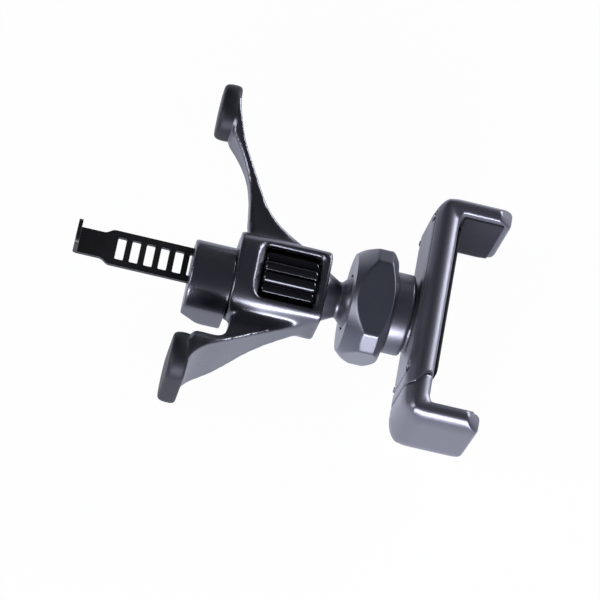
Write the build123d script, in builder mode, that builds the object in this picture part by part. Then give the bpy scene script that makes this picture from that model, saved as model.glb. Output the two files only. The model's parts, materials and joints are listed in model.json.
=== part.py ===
"""A phone holder that hooks on to the blade of a car's air vent.

The flat hook runs back along X through a ribbed wheel. Turning the wheel draws
the hook in, so that two swept arms press their rubber feet on the vent. A ball
joint with a locking nut carries a sprung clamp that grips the phone's sides.

Frame, in millimetres: +X points from the vent to the phone, +Y is to the left of
somebody facing the vent's outlet, +Z is up. The origin is on the hook's centre
line, in the plane where both rubber feet meet the vent.
"""

from build123d import *
from math import cos, radians, sin, sqrt
import os

# Fits and clearances
fit_gap = 0.08
slide_gap = 0.3
seat_gap = 0.05

# Flat hook with its ladder of slots
strap_thickness = 1.0
strap_width = 9.2
strap_neck_width = 6.8
strap_reach = 28.0
strap_neck_end = 6.5
strap_shoulder = 3.0
strap_tail = 29.0
strap_travel = 7.0
hook_height = 6.0
hook_bend_radius = 1.0
hook_corner = 1.8
slot_pitch = 3.6
slot_width = 2.1
slot_height = 5.8
slot_count = 12
slot_first = 11.4
slot_corner = 0.3

# Barrel, a rounded box that narrows towards the ball
barrel_start = 11.5
barrel_end = 34.5
barrel_back_half = 11.2
barrel_back_top = 9.2
barrel_back_round = 8.5
barrel_front_half = 9.5
barrel_front_top = 8.3
barrel_front_round = 3.0
barrel_edge = 0.8
end_wall = 2.4

# Arms, the upper one longer than the lower one
upper_reach = 50.0
lower_reach = 33.0
upper_foot_length = 13.5
lower_foot_length = 12.0
foot_thickness = 2.0
upper_foot_height = 13.0
lower_foot_height = 25.0
foot_corner = 5.6
upper_arm_height = 6.0
lower_arm_height = 10.0
arm_root_y = 8.3
hip_back = 15.5
hip_y = 16.8
upper_knee_x = 12.2
lower_knee_x = 11.0
upper_knee_drop = 22.5
lower_knee_drop = 10.5
arm_blade = 2.6
knee_turn = 56.0
root_slope = -0.5
tip_slope = -8.0
heel_slope = -1.3
armpit_slope = -6.7
flare_length = 7.0
flare_run = 5.0
flare_edge = 1.0

# Rubber feet
pad_thickness = 2.2
pad_inset = 0.5
pad_edge = 0.6

# Ribbed wheel
wheel_length = 13.4
wheel_radius = 8.9
wheel_ribs = 16
wheel_groove_radius = 0.75
wheel_edge = 0.6
wheel_side_gap = 0.35
window_half_width = 6.9
window_bevel = 1.1
window_corner = 1.2

# Nose that guides the hook
nose_start = 1.0
nose_radius = 8.9
nose_shift = 2.3
nose_drop = 11.5
nose_corner = 4.0
nose_cut_height = 4.0
nose_cut_length = 7.5
spigot_radius = 7.6
spigot_length = 4.0

# Ball and its stem
ball_x = 44.5
ball_radius = 7.5
neck_radius = 4.5
stem_base_radius = 6.4
stem_spigot_radius = 5.9
stem_step = 0.6

# Liner and friction pad behind the ball
shell_thickness = 0.62
liner_half_angle = 35.0
pad_half_angle = 33.0

# Socket, locking nut and collar
nut_start = 40.5
nut_length = 10.0
nut_flats = 26.4
nut_corner_cut = 4.0
nut_tilt = 12.0
nut_face_run = 1.2
nut_nose_radius = 9.4
nut_nose_length = 4.2
nut_tail_radius = 13.4
nut_tail_length = 1.6
nut_mouth_radius = 7.05
nut_lip = 1.1
thread_radius = 9.8
collar_start = 51.0
collar_length = 4.8
collar_radius = 10.2
collar_edge = 0.35
cavity_face = 3.8
finger_slot = 1.2
finger_count = 4
finger_depth = 5.0
socket_spigot_radius = 4.0
socket_floor = 0.6

# Clamp body
bar_back = 57.0
bar_depth = 6.6
bar_half_width = 12.5
clamp_gap = 50.0
jaw_thickness = 5.0
jaw_length = 13.0
jaw_taper = 3.5
bar_edge = 2.0
jaw_outer_radius = 6.0
jaw_tip_edge = 1.2
wall = 1.3
seam_front = 6.5
seam_back = 3.6
seam_overrun = 1.0
seam_bend = 1.6
boss_radius = 9.0

# Sliding jaw, rods and springs
jaw_travel = 24.0
tongue_gap = 1.4
crossbar_side_gap = 0.75
crossbar_height = 3.0
closed_spring = 8.6
rod_radius = 0.9
rod_inset = 4.15
spring_wire = 0.25
spring_radius = 1.4
spring_turns = 9
ledge_height = 3.6
cavity_above_gap = 0.6
post_radius = 1.35

# Pads of the clamp
pad_sheet = 0.9
pad_depth = 0.45
pad_tip_rim = 1.8
pad_margin = 2.0
jaw_pad_corner = 0.4
bed_pad_corner = 2.0

# Screws
screw_head_radius = 1.3
screw_head_height = 0.7
screw_shank_radius = 0.75
screw_length = 4.0
socket_screw_head_radius = 2.6
socket_screw_head_height = 0.8
socket_screw_radius = 1.25

os.makedirs("parts", exist_ok=True)

# Values that follow from the sizes above
bar_front = bar_back + bar_depth
jaw_tip = bar_front + jaw_length
half_gap = clamp_gap / 2
clamp_top = half_gap + jaw_thickness
wheel_start = barrel_end - end_wall - wheel_side_gap - wheel_length
window_start = wheel_start - wheel_side_gap
window_end = barrel_end - end_wall
hook_x = -strap_reach
foot_front = pad_thickness
foot_back = foot_front + foot_thickness
nut_end = nut_start + nut_length
collar_end = collar_start + collar_length
boss_height = bar_back - collar_end
liner_inner = ball_radius + fit_gap
liner_outer = liner_inner + shell_thickness
friction_inner = liner_outer + fit_gap
friction_outer = friction_inner + shell_thickness
cavity_radius = friction_outer + fit_gap
ledge_bottom = -half_gap + seam_front + slide_gap
ledge_top = ledge_bottom + ledge_height
crossbar_top = ledge_top + jaw_travel + closed_spring + crossbar_height
cavity_back = bar_back + wall
cavity_front = bar_front - wall
rod_x = (cavity_back + cavity_front) / 2
cavity_half = bar_half_width - bar_edge - seat_gap
rod_z = cavity_half - rod_inset
tongue_half_width = rod_z - rod_radius - tongue_gap
crossbar_half_width = cavity_half - crossbar_side_gap
cavity_top = half_gap + cavity_above_gap
cover_low = ledge_bottom + wall / 4
screw_y = (ledge_bottom + ledge_height / 2, cavity_top - post_radius - seat_gap)
screw_z = cavity_half - post_radius - slide_gap
pad_start = bar_front + pad_sheet + seat_gap
pad_length = jaw_tip - pad_tip_rim - pad_start
pad_middle = pad_start + pad_length / 2


def save(part, name):
    """Labels a finished piece and writes it under its own name."""
    part.label = name
    export_step(part, f"parts/{name}.step")


def make_hook_strap():
    """Steel strip: a ladder of slots, a narrower neck and an upturned hook."""
    half = strap_width / 2
    neck = strap_neck_width / 2
    neck_x = hook_x + strap_neck_end
    shoulder_x = neck_x + strap_shoulder
    with BuildPart() as strap:
        with BuildSketch(Plane.XY.offset(-strap_thickness / 2)):
            with BuildLine():
                Polyline((hook_x, neck), (hook_x, -neck), (neck_x, -neck))
                Spline((neck_x, -neck), (shoulder_x, -half), tangents=[(1, 0), (1, 0)])
                Polyline((shoulder_x, -half), (strap_tail, -half), (strap_tail, half), (shoulder_x, half))
                Spline((shoulder_x, half), (neck_x, neck), tangents=[(-1, 0), (-1, 0)])
                Line((neck_x, neck), (hook_x, neck))
            make_face()
            slots_middle = hook_x + slot_first + slot_pitch * (slot_count - 1) / 2
            with Locations((slots_middle, 0)):
                with GridLocations(slot_pitch, 0, slot_count, 1):
                    RectangleRounded(slot_width, slot_height, slot_corner, mode=Mode.SUBTRACT)
        extrude(amount=strap_thickness)
        with BuildSketch(Plane.YZ.offset(hook_x)):
            with Locations((0, hook_height / 2)):
                Rectangle(strap_neck_width, hook_height + strap_thickness)
            top = vertices().group_by(Axis.Y)[-1]
            fillet(top, hook_corner)
        extrude(amount=strap_thickness)
        bend = strap.edges().filter_by(Axis.Y).group_by(Axis.X)[0].group_by(Axis.Z)[0]
        fillet(bend, hook_bend_radius)
    return strap


def arm_sizes(side):
    """Reach, foot length, knee place and knee drop of the upper or the lower arm."""
    if side > 0:
        return upper_reach, upper_foot_length, upper_knee_x, upper_knee_drop
    return lower_reach, lower_foot_length, lower_knee_x, lower_knee_drop


def arm_heights(side):
    """Height of the blade and of the foot on the upper or the lower arm."""
    if side > 0:
        return upper_arm_height, upper_foot_height
    return lower_arm_height, lower_foot_height


def arm_plan(side):
    """Plan outline of one swept arm, from its root on the barrel to the back of its foot."""
    reach, length, knee_x, knee_drop = arm_sizes(side)
    root = (barrel_end, side * arm_root_y)
    hip = (barrel_end - hip_back, side * hip_y)
    knee = (knee_x, side * (reach - knee_drop))
    tip = (foot_back, side * (reach - foot_corner / 2))
    heel = (foot_back, side * (reach - length))
    turn = radians(knee_turn)
    inner_knee = (knee_x - arm_blade * cos(turn), side * (reach - knee_drop - arm_blade * sin(turn)))
    armpit = (barrel_start + foot_thickness, side * (barrel_back_half - foot_thickness))
    with BuildLine() as outline:
        Spline(root, hip, knee, tip, tangents=[(-1, -side * root_slope), (-1, -side * tip_slope)])
        Line(tip, heel)
        Spline(heel, inner_knee, armpit, tangents=[(1, side * heel_slope), (1, side * armpit_slope)])
        Polyline(armpit, (armpit[0], 0), (barrel_end, 0), root)
    return outline.line


def make_arm(side):
    """One swept arm, whose blade grows taller towards the flat plate of its foot."""
    reach, length = arm_sizes(side)[:2]
    blade_height, foot_height = arm_heights(side)
    arm_top = blade_height / 2
    foot_top = foot_height / 2
    heel = reach - length
    with BuildPart() as arm:
        with BuildSketch(Plane.XY.offset(-foot_top)):
            with BuildLine():
                add(arm_plan(side))
            make_face()
        extrude(amount=foot_height)
        with BuildSketch(Plane.YZ):
            with BuildLine():
                top = Spline(
                    (0, arm_top),
                    (side * (heel - flare_length), arm_top),
                    (side * (heel + flare_edge), foot_top - flare_edge),
                    (side * (heel + flare_run), foot_top),
                    tangents=[(side, 0), (side, 0)],
                )
                Line(top @ 1, (side * (reach - foot_corner), foot_top))
                RadiusArc(
                    (side * (reach - foot_corner), foot_top),
                    (side * reach, foot_top - foot_corner),
                    side * foot_corner,
                )
                Line((side * reach, foot_top - foot_corner), (side * reach, 0))
                mirror(about=Plane.XZ)
                Line((0, arm_top), (0, -arm_top))
            make_face()
        extrude(amount=barrel_end, mode=Mode.INTERSECT)
        with BuildSketch(Plane.YZ.offset(foot_front)):
            with Locations((side * (reach - length / 2), 0)):
                RectangleRounded(length, foot_height, foot_corner)
        extrude(amount=foot_thickness)
    return arm.part


def make_yoke():
    """The main moulding: barrel, wheel window and the two swept arms."""
    window_length = window_end - window_start
    window_middle = (window_start + window_end) / 2
    with BuildPart() as yoke:
        with BuildSketch(Plane.YZ.offset(barrel_start)):
            RectangleRounded(2 * barrel_back_half, 2 * barrel_back_top, barrel_back_round)
        with BuildSketch(Plane.YZ.offset(barrel_end)):
            RectangleRounded(2 * barrel_front_half, 2 * barrel_front_top, barrel_front_round)
        loft()
        fillet(yoke.faces().sort_by(Axis.X)[-1].edges(), barrel_edge)
        for side in (1, -1):
            add(make_arm(side))
        with BuildSketch(Plane.YZ.offset(window_start)):
            Circle(wheel_radius + slide_gap)
        extrude(amount=window_length, mode=Mode.SUBTRACT)
        for up in (1, -1):
            rim = Plane(origin=(window_middle, 0, up * (barrel_front_top - window_bevel)),
                        x_dir=(1, 0, 0), z_dir=(0, 0, up))
            with BuildSketch(rim) as opening:
                RectangleRounded(window_length, 2 * window_half_width, window_corner)
            extrude(opening.sketch, amount=-barrel_front_top, mode=Mode.SUBTRACT)
            extrude(opening.sketch, amount=2 * window_bevel, taper=-45, mode=Mode.SUBTRACT)
        with BuildSketch(Plane.YZ.offset(barrel_start)):
            Circle(spigot_radius + seat_gap)
        extrude(amount=spigot_length, mode=Mode.SUBTRACT)
        with BuildSketch(Plane.YZ.offset(barrel_start)):
            Rectangle(strap_width + 2 * slide_gap, strap_thickness + 2 * slide_gap)
        extrude(amount=window_start - barrel_start, mode=Mode.SUBTRACT)
        with BuildSketch(Plane.YZ.offset(window_end)):
            Circle(stem_spigot_radius + seat_gap)
        extrude(amount=end_wall, mode=Mode.SUBTRACT)
    return yoke


def make_foot_pad(side):
    """Rubber facing glued on the vent side of one foot."""
    reach, length = arm_sizes(side)[:2]
    foot_height = arm_heights(side)[1]
    with BuildPart() as pad:
        with BuildSketch(Plane.YZ):
            with Locations((side * (reach - length / 2), 0)):
                RectangleRounded(
                    length - 2 * pad_inset, foot_height - 2 * pad_inset, foot_corner - pad_inset
                )
        extrude(amount=pad_thickness)
        fillet(pad.faces().sort_by(Axis.X)[0].edges(), pad_edge)
    return pad


def make_nose_guide():
    """Nose in front of the barrel, with a spigot behind and a channel for the hook."""
    with BuildPart() as nose:
        with BuildSketch(Plane.YZ.offset(nose_start)):
            with Locations((-nose_shift, 0)):
                Circle(nose_radius)
            with Locations((-nose_shift, -nose_drop / 2)):
                Rectangle(2 * nose_radius, nose_drop)
            fillet(vertices().group_by(Axis.Y)[0], nose_corner)
        extrude(amount=barrel_start - nose_start)
        with BuildSketch(Plane.XZ.offset(-2 * nose_radius)):
            with BuildLine():
                Polyline(
                    (nose_start, -nose_cut_height),
                    (nose_start + nose_cut_length, -nose_drop),
                    (nose_start, -nose_drop),
                    close=True,
                )
            make_face()
        extrude(amount=4 * nose_radius, mode=Mode.SUBTRACT)
        with BuildSketch(Plane.YZ.offset(barrel_start)):
            Circle(spigot_radius)
        extrude(amount=spigot_length - seat_gap)
        with BuildSketch(Plane.YZ.offset(nose_start)):
            Rectangle(strap_width + 2 * slide_gap, strap_thickness + 2 * slide_gap)
        extrude(amount=barrel_end, mode=Mode.SUBTRACT)
    return nose


def make_thumb_wheel():
    """Ribbed wheel whose bore carries the thread that draws the hook."""
    wheel_end = wheel_start + wheel_length
    with BuildPart() as wheel:
        with BuildSketch(Plane.YZ.offset(wheel_start)):
            Circle(wheel_radius)
            with PolarLocations(wheel_radius, wheel_ribs):
                Circle(wheel_groove_radius, mode=Mode.SUBTRACT)
            Circle(strap_width / 2 + fit_gap, mode=Mode.SUBTRACT)
        extrude(amount=wheel_length)
        with BuildSketch(Plane.XZ):
            with BuildLine():
                Polyline(
                    (wheel_start, 0),
                    (wheel_start, wheel_radius - wheel_edge),
                    (wheel_start + wheel_edge, wheel_radius),
                    (wheel_end - wheel_edge, wheel_radius),
                    (wheel_end, wheel_radius - wheel_edge),
                    (wheel_end, 0),
                    close=True,
                )
            make_face()
        revolve(axis=Axis.X, mode=Mode.INTERSECT)
    return wheel


def make_ball_stud():
    """Hollow stem and ball, pressed into the barrel's end wall."""
    neck_x = ball_x - sqrt(ball_radius**2 - neck_radius**2)
    with BuildPart() as stud:
        with BuildSketch(Plane.XZ):
            with BuildLine():
                Polyline(
                    (window_end, 0),
                    (window_end, stem_spigot_radius),
                    (barrel_end, stem_spigot_radius),
                    (barrel_end, stem_base_radius),
                    (neck_x - stem_step, neck_radius),
                    (neck_x, neck_radius),
                )
                ThreePointArc((neck_x, neck_radius), (ball_x, ball_radius), (ball_x + ball_radius, 0))
                Line((ball_x + ball_radius, 0), (window_end, 0))
            make_face()
        revolve(axis=Axis.X)
        with BuildSketch(Plane.YZ.offset(window_end)):
            Rectangle(strap_width + 2 * slide_gap, strap_thickness + 2 * slide_gap)
        extrude(amount=strap_tail + strap_travel + slide_gap - window_end, mode=Mode.SUBTRACT)
    return stud


def make_cap(inner, outer, half_angle):
    """Thin spherical cap behind the ball, about the ball's centre."""
    turn = radians(half_angle)

    def at(radius, angle):
        return (ball_x + radius * cos(angle), radius * sin(angle))

    with BuildPart() as cap:
        with BuildSketch(Plane.XZ):
            with BuildLine():
                Line(at(inner, 0), at(outer, 0))
                ThreePointArc(at(outer, 0), at(outer, turn / 2), at(outer, turn))
                Line(at(outer, turn), at(inner, turn))
                ThreePointArc(at(inner, turn), at(inner, turn / 2), at(inner, 0))
            make_face()
        revolve(axis=Axis.X)
    return cap


def make_socket_collar():
    """Split, threaded cup around the ball, with the collar behind the nut."""
    mouth = nut_start + nut_lip + fit_gap
    bowl = ball_radius + fit_gap
    mouth_radius = sqrt(bowl**2 - (ball_x - mouth) ** 2)
    face_x = ball_x + cavity_face
    face_inner = sqrt(bowl**2 - cavity_face**2)
    face_outer = sqrt(cavity_radius**2 - cavity_face**2)
    back_turn = radians(45)
    with BuildPart() as socket:
        with BuildSketch(Plane.XZ):
            with BuildLine():
                Polyline(
                    (mouth, mouth_radius),
                    (mouth, thread_radius),
                    (collar_start, thread_radius),
                    (collar_start, collar_radius - collar_edge),
                    (collar_start + collar_edge, collar_radius),
                    (collar_end - collar_edge, collar_radius),
                    (collar_end, collar_radius - collar_edge),
                    (collar_end, socket_spigot_radius),
                    (bar_back, socket_spigot_radius),
                    (bar_back, socket_screw_radius),
                    (ball_x + cavity_radius + socket_floor, socket_screw_radius),
                    (ball_x + cavity_radius + socket_floor, 0),
                    (ball_x + cavity_radius, 0),
                )
                ThreePointArc(
                    (ball_x + cavity_radius, 0),
                    (ball_x + cavity_radius * cos(back_turn), cavity_radius * sin(back_turn)),
                    (face_x, face_outer),
                )
                Line((face_x, face_outer), (face_x, face_inner))
                ThreePointArc((face_x, face_inner), (ball_x, bowl), (mouth, mouth_radius))
            make_face()
        revolve(axis=Axis.X)
        with BuildSketch(Plane.YZ.offset(mouth)):
            with PolarLocations(0, finger_count // 2, angular_range=180):
                Rectangle(2 * collar_radius, finger_slot)
        extrude(amount=finger_depth, mode=Mode.SUBTRACT)
    return socket


def make_lock_nut():
    """Eight-sided nut: four broad flats and four cut corners, coned at both ends."""
    half = nut_flats / 2
    corner = half * sqrt(2)
    face_x = nut_start + nut_nose_length
    with BuildPart() as nut:
        with BuildSketch(Plane.YZ.offset(nut_start)):
            Rectangle(nut_flats, nut_flats, rotation=nut_tilt)
            chamfer(vertices(), nut_corner_cut)
        extrude(amount=nut_length)
        with BuildSketch(Plane.XZ):
            with BuildLine():
                Polyline(
                    (nut_start, 0),
                    (nut_start, nut_nose_radius),
                    (face_x, half + nut_face_run),
                    (face_x + nut_face_run, corner),
                    (nut_end - nut_tail_length, corner),
                    (nut_end, nut_tail_radius),
                    (nut_end, 0),
                    close=True,
                )
            make_face()
        revolve(axis=Axis.X, mode=Mode.INTERSECT)
        with BuildSketch(Plane.YZ.offset(nut_start)):
            Circle(nut_mouth_radius)
        extrude(amount=nut_lip, mode=Mode.SUBTRACT)
        with BuildSketch(Plane.YZ.offset(nut_start + nut_lip)):
            Circle(thread_radius + fit_gap)
        extrude(amount=nut_length, mode=Mode.SUBTRACT)
    return nut


def seam_line(offset):
    """S-shaped joint between the bar and the sliding jaw, seen along Z."""
    return Spline(
        (bar_front + seam_overrun, -half_gap + seam_front + offset),
        (bar_front - seam_bend, -half_gap + seam_front + offset),
        (bar_back + seam_bend, -half_gap + seam_back + offset),
        (bar_back - seam_overrun, -half_gap + seam_back + offset),
        tangents=[(-1, 0), (-1, 0)],
    )


def bracket_blank():
    """Bar and both jaws as one channel-shaped blank with rounded outer corners."""
    with BuildPart() as blank:
        with BuildSketch(Plane.XY.offset(-bar_half_width)):
            with BuildLine():
                Polyline(
                    (bar_back, clamp_top),
                    (jaw_tip, clamp_top),
                    (jaw_tip, half_gap),
                    (bar_front, half_gap),
                    (bar_front, -half_gap),
                    (jaw_tip, -half_gap),
                    (jaw_tip, -clamp_top),
                    (bar_back, -clamp_top),
                    close=True,
                )
            make_face()
            fillet(vertices().group_by(Axis.X)[0], jaw_outer_radius)
            fillet(vertices().group_by(Axis.X)[-1], jaw_tip_edge)
        extrude(amount=2 * bar_half_width)
        with BuildSketch(Plane.XZ.offset(-clamp_top)):
            with Locations(((bar_back + jaw_tip) / 2, 0)):
                Rectangle(jaw_tip - bar_back, 2 * bar_half_width)
            chamfer(vertices().group_by(Axis.X)[-1], jaw_taper)
        extrude(amount=2 * clamp_top, mode=Mode.INTERSECT)
        long_back = blank.edges().filter_by(Axis.Y).group_by(Axis.X)[0]
        fillet(long_back, bar_edge)
    return blank


def pad_pocket(side):
    """Outline of the shallow pocket for the rubber lining of one jaw."""
    with BuildSketch(Plane.XZ.offset(-side * half_gap)) as pocket:
        with Locations((pad_middle, 0)):
            Rectangle(pad_length, 2 * (bar_half_width - pad_margin))
    return pocket.sketch


def make_clamp_body():
    """Housing of the spring, with the fixed jaw in one moulding."""
    with BuildPart() as body:
        add(bracket_blank().part)
        with BuildSketch(Plane.XY.offset(-bar_half_width)):
            with BuildLine():
                seam = seam_line(slide_gap / 2)
                Polyline(
                    seam @ 1,
                    (bar_back - seam_overrun, -clamp_top - seam_overrun),
                    (jaw_tip + seam_overrun, -clamp_top - seam_overrun),
                    (jaw_tip + seam_overrun, -half_gap + seam_front),
                    seam @ 0,
                )
            make_face()
        extrude(amount=2 * bar_half_width, mode=Mode.SUBTRACT)
        with BuildSketch(Plane.YZ.offset(cavity_front)):
            with Locations(((ledge_top + cavity_top) / 2, 0)):
                Rectangle(cavity_top - ledge_top, 2 * cavity_half)
        extrude(amount=-bar_depth, mode=Mode.SUBTRACT)
        with BuildSketch(Plane.YZ.offset(cavity_back)):
            with Locations(((cover_low + cavity_top) / 2, 0)):
                Rectangle(cavity_top - cover_low, 2 * cavity_half)
        extrude(amount=-bar_depth, mode=Mode.SUBTRACT)
        with BuildSketch(Plane.YZ.offset(cavity_back)):
            with Locations((screw_y[1], screw_z), (screw_y[1], -screw_z)):
                Circle(post_radius)
        extrude(amount=cavity_front - cavity_back)
        with BuildSketch(Plane.YZ.offset(cavity_back)):
            with Locations(*[(y, z) for y in screw_y for z in (-screw_z, screw_z)]):
                Circle(screw_shank_radius + fit_gap)
        extrude(amount=screw_length - wall + screw_head_height, mode=Mode.SUBTRACT)
        with BuildSketch(Plane.XZ.offset(clamp_top)):
            with Locations((rod_x, 0)):
                Rectangle(cavity_front - cavity_back, 2 * (tongue_half_width + slide_gap))
        extrude(amount=-(clamp_top + ledge_top), mode=Mode.SUBTRACT)
        extrude(pad_pocket(1), amount=-pad_depth, mode=Mode.SUBTRACT)
    return body


def make_back_cover():
    """Cover let into the back of the bar, with the round boss for the socket."""
    with BuildPart() as cover:
        with BuildSketch(Plane.YZ.offset(bar_back)):
            with Locations(((cover_low + cavity_top) / 2, 0)):
                Rectangle(cavity_top - cover_low - 2 * seat_gap, 2 * (cavity_half - seat_gap))
        extrude(amount=wall)
        with BuildSketch(Plane.YZ.offset(bar_back)):
            Circle(boss_radius)
        extrude(amount=-boss_height)
        with BuildSketch(Plane.YZ.offset(bar_back - boss_height)):
            Circle(socket_spigot_radius + seat_gap)
        extrude(amount=boss_height, mode=Mode.SUBTRACT)
        with BuildSketch(Plane.YZ.offset(bar_back)):
            Circle(socket_screw_radius + seat_gap)
        extrude(amount=wall, mode=Mode.SUBTRACT)
        with BuildSketch(Plane.YZ.offset(cavity_back)):
            Circle(socket_screw_head_radius + seat_gap)
        extrude(amount=-socket_screw_head_height, mode=Mode.SUBTRACT)
        with BuildSketch(Plane.YZ.offset(bar_back)):
            with Locations(*[(y, z) for y in screw_y for z in (-screw_z, screw_z)]):
                Circle(screw_head_radius + seat_gap)
        extrude(amount=screw_head_height, mode=Mode.SUBTRACT)
        with BuildSketch(Plane.YZ.offset(bar_back)):
            with Locations(*[(y, z) for y in screw_y for z in (-screw_z, screw_z)]):
                Circle(screw_shank_radius + seat_gap)
        extrude(amount=wall, mode=Mode.SUBTRACT)
    return cover


def make_sliding_jaw():
    """Lower jaw with the tongue and crossbar that run inside the bar."""
    with BuildPart() as jaw:
        add(bracket_blank().part)
        with BuildSketch(Plane.XY.offset(-bar_half_width)):
            with BuildLine():
                seam = seam_line(-slide_gap / 2)
                Polyline(
                    seam @ 1,
                    (bar_back - seam_overrun, clamp_top + seam_overrun),
                    (jaw_tip + seam_overrun, clamp_top + seam_overrun),
                    (jaw_tip + seam_overrun, -half_gap + seam_front),
                    seam @ 0,
                )
            make_face()
        extrude(amount=2 * bar_half_width, mode=Mode.SUBTRACT)
        tongue_back = cavity_back + slide_gap
        tongue_front = cavity_front - slide_gap
        with BuildSketch(Plane.XZ.offset(half_gap)):
            with Locations(((tongue_back + tongue_front) / 2, 0)):
                Rectangle(tongue_front - tongue_back, 2 * tongue_half_width)
        extrude(amount=-(half_gap + crossbar_top))
        with BuildSketch(Plane.XZ.offset(-(crossbar_top - crossbar_height))):
            with Locations(((tongue_back + tongue_front) / 2, 0)):
                Rectangle(tongue_front - tongue_back, 2 * crossbar_half_width)
            with Locations((rod_x, rod_z), (rod_x, -rod_z)):
                Circle(rod_radius + fit_gap, mode=Mode.SUBTRACT)
        extrude(amount=-crossbar_height)
        extrude(pad_pocket(-1), amount=pad_depth, mode=Mode.SUBTRACT)
    return jaw


def make_guide_rod(side):
    """Steel rod that guides the crossbar and carries one spring."""
    with BuildPart() as rod:
        with BuildSketch(Plane.XZ.offset(-ledge_top)):
            with Locations((rod_x, side * rod_z)):
                Circle(rod_radius)
        extrude(amount=-(cavity_top - ledge_top))
    return rod


def make_spring(side):
    """Compression spring between the ledge and the crossbar."""
    low = ledge_top + spring_wire + seat_gap
    length = crossbar_top - crossbar_height - ledge_top - 2 * (spring_wire + seat_gap)
    foot = (rod_x, low, side * rod_z)
    with BuildPart() as spring:
        with BuildLine():
            coil = Helix(length / spring_turns, length, spring_radius, center=foot, direction=(0, 1, 0))
        with BuildSketch(Plane(origin=coil @ 0, z_dir=coil % 0)):
            Circle(spring_wire)
        sweep(path=coil, is_frenet=True)
    return spring


def make_jaw_pad(side):
    """Rubber lining in the pocket of one jaw."""
    with BuildPart() as pad:
        with BuildSketch(Plane.XZ.offset(-side * (half_gap + pad_depth))):
            with Locations((pad_middle, 0)):
                RectangleRounded(
                    pad_length - 2 * seat_gap,
                    2 * (bar_half_width - pad_margin - seat_gap),
                    jaw_pad_corner,
                )
        extrude(amount=side * pad_sheet)
    return pad


def make_bed_pad():
    """Soft sheet on the front of the bar, which the phone's back rests on."""
    low = -half_gap + seam_front + pad_margin
    high = half_gap - pad_margin
    with BuildPart() as pad:
        with BuildSketch(Plane.YZ.offset(bar_front)):
            with Locations(((low + high) / 2, 0)):
                RectangleRounded(high - low, 2 * (bar_half_width - pad_margin), bed_pad_corner)
        extrude(amount=pad_sheet)
    return pad


def make_cover_screws():
    """Four small screws that hold the back cover."""
    with BuildPart() as screws:
        for y in screw_y:
            for z in (-screw_z, screw_z):
                with BuildSketch(Plane.YZ.offset(bar_back)):
                    with Locations((y, z)):
                        Circle(screw_head_radius)
                extrude(amount=screw_head_height)
                with BuildSketch(Plane.YZ.offset(bar_back + screw_head_height)):
                    with Locations((y, z)):
                        Circle(screw_shank_radius)
                extrude(amount=screw_length)
    return screws


def make_socket_screw():
    """Screw inside the bar that holds the socket's spigot to the back cover."""
    head_x = cavity_back - socket_screw_head_height
    tip_x = ball_x + cavity_radius + socket_floor
    with BuildPart() as screw:
        with BuildSketch(Plane.YZ.offset(tip_x)):
            Circle(socket_screw_radius)
        extrude(amount=head_x - tip_x)
        with BuildSketch(Plane.YZ.offset(head_x)):
            Circle(socket_screw_head_radius)
        extrude(amount=socket_screw_head_height)
    return screw


def main():
    """Builds every piece and writes each to its own file."""
    save(make_hook_strap().part, "hook_strap")
    save(make_yoke().part, "yoke")
    save(make_foot_pad(1).part, "foot_pad_left")
    save(make_foot_pad(-1).part, "foot_pad_right")
    save(make_nose_guide().part, "nose_guide")
    save(make_thumb_wheel().part, "thumb_wheel")
    save(make_ball_stud().part, "ball_stud")
    save(make_cap(liner_inner, liner_outer, liner_half_angle).part, "ball_liner")
    save(make_cap(friction_inner, friction_outer, pad_half_angle).part, "friction_pad")
    save(make_socket_collar().part, "socket_collar")
    save(make_lock_nut().part, "lock_nut")
    save(make_clamp_body().part, "clamp_body")
    save(make_back_cover().part, "back_cover")
    save(make_sliding_jaw().part, "sliding_jaw")
    save(make_guide_rod(1).part, "guide_rod_upper")
    save(make_guide_rod(-1).part, "guide_rod_lower")
    save(make_spring(1).part, "spring_upper")
    save(make_spring(-1).part, "spring_lower")
    save(make_jaw_pad(1).part, "fixed_jaw_pad")
    save(make_jaw_pad(-1).part, "sliding_jaw_pad")
    save(make_bed_pad().part, "bed_pad")
    save(make_cover_screws().part, "cover_screws")
    save(make_socket_screw().part, "socket_screw")


main()
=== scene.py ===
# %% [markdown]
# A phone holder for a car's air vent.
# A flat steel hook goes between two blades of the vent, a ribbed wheel draws it in, and two
# swept arms press rubber feet on the vent. A ball with a lock nut carries a sprung clamp.
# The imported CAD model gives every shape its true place. This lesson gives those shapes their
# finish: moulded plastic, coated steel, rubber and foam, and the small detail that repeats.

import json
import math
from functools import partial

import bmesh
import bpy
import numpy as np
from mathutils import Matrix, Vector


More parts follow.
